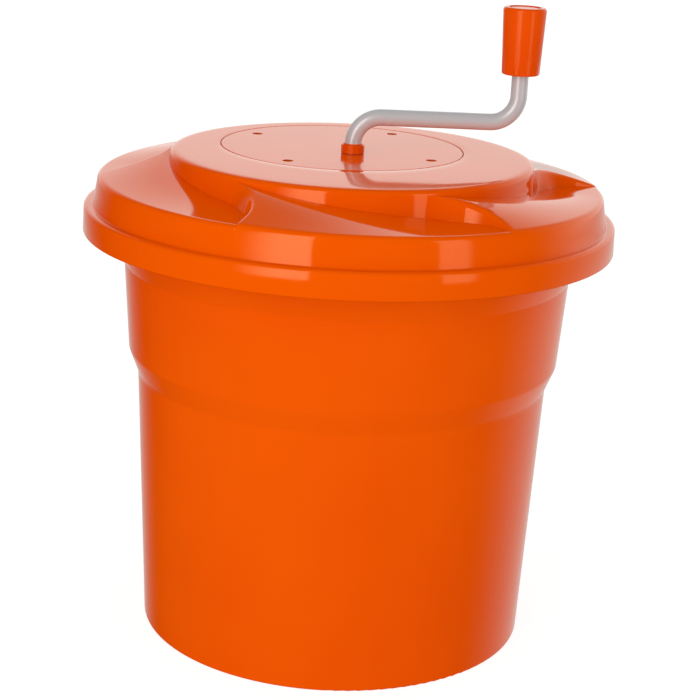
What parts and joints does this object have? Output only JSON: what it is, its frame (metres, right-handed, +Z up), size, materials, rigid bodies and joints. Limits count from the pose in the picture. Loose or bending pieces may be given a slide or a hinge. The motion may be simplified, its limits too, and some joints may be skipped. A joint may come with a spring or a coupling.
{
  "type": "salad spinner",
  "caption": "Large hand-cranked salad spinner: tapered bucket, swirl-bladed domed lid with geared crank and knob, slotted spinning basket inside.",
  "frame": {"origin": "on the floor at the centre of the bucket's base", "axes": "+Z up along the bucket's axis; the crank turns about the same axis and its arm points along +X, turned 3 degrees towards +Y"},
  "size_m": [0.43, 0.43, 0.5213],
  "materials": {
    "orange_bucket": "glossy moulded polypropylene",
    "orange_lid": "glossy moulded plastic",
    "orange_small": "satin moulded plastic",
    "white_plastic": "natural moulded polypropylene",
    "acetal": "natural acetal",
    "aluminium_tube": "satin anodised",
    "steel": "turned stainless steel",
    "dark_steel": "oxidised screw heads"
  },
  "bodies": {
    "bucket_body": {"bucket": "orange_bucket", "pivot_pin": "steel"},
    "basket_body": {"basket": "white_plastic", "basket_bearing": "acetal"},
    "lid_body": {"lid": "orange_lid", "gear_cover": "orange_lid", "cover_screws": "dark_steel", "crank_bush": "acetal", "shaft_bush": "acetal", "idler_pin": "steel", "idler_washer": "steel"},
    "crank_body": {"crank_tube": "aluminium_tube", "crank_collar": "orange_small", "crank_gear": "acetal", "gear_pin": "steel", "crank_washer": "steel", "spigot_bush": "acetal", "tube_plug": "steel", "knob_screw": "steel", "knob_washer": "steel"},
    "knob_body": {"knob": "orange_small", "knob_cap": "orange_small", "knob_bush": "acetal"},
    "idler_body": {"idler_gears": "acetal"},
    "driver_body": {"drive_shaft": "steel", "drive_gear": "acetal", "shaft_washer": "steel", "drive_spider": "white_plastic", "spider_washer": "steel", "spider_screw": "steel"}
  },
  "joints": [
    {"name": "basket_spin", "type": "hinge", "parent": "bucket_body", "child": "basket_body", "pos_m": [0, 0, 0.05], "axis": [0, 0, 1], "continuous": true},
    {"name": "lid_lift", "type": "slide", "parent": "bucket_body", "child": "lid_body", "axis": [0, 0, 1], "range_m": [0, 0.16]},
    {"name": "crank_turn", "type": "hinge", "parent": "lid_body", "child": "crank_body", "pos_m": [0, 0, 0.4], "axis": [0, 0, 1], "continuous": true},
    {"name": "idler_turn", "type": "hinge", "parent": "lid_body", "child": "idler_body", "pos_m": [-0.0127, 0.03687, 0.38], "axis": [0, 0, 1], "continuous": true},
    {"name": "knob_turn", "type": "hinge", "parent": "crank_body", "child": "knob_body", "pos_m": [0.13102, 0.00687, 0.5], "axis": [0, 0, 1], "continuous": true},
    {"name": "driver_spin", "type": "hinge", "parent": "lid_body", "child": "driver_body", "pos_m": [0, 0, 0.38], "axis": [0, 0, 1], "continuous": true}
  ],
  "couplings": [
    {"joint": "driver_spin", "follows": "basket_spin", "ratio": 1},
    {"joint": "idler_turn", "follows": "basket_spin", "ratio": -1},
    {"joint": "crank_turn", "follows": "basket_spin", "ratio": 0.33333}
  ]
}
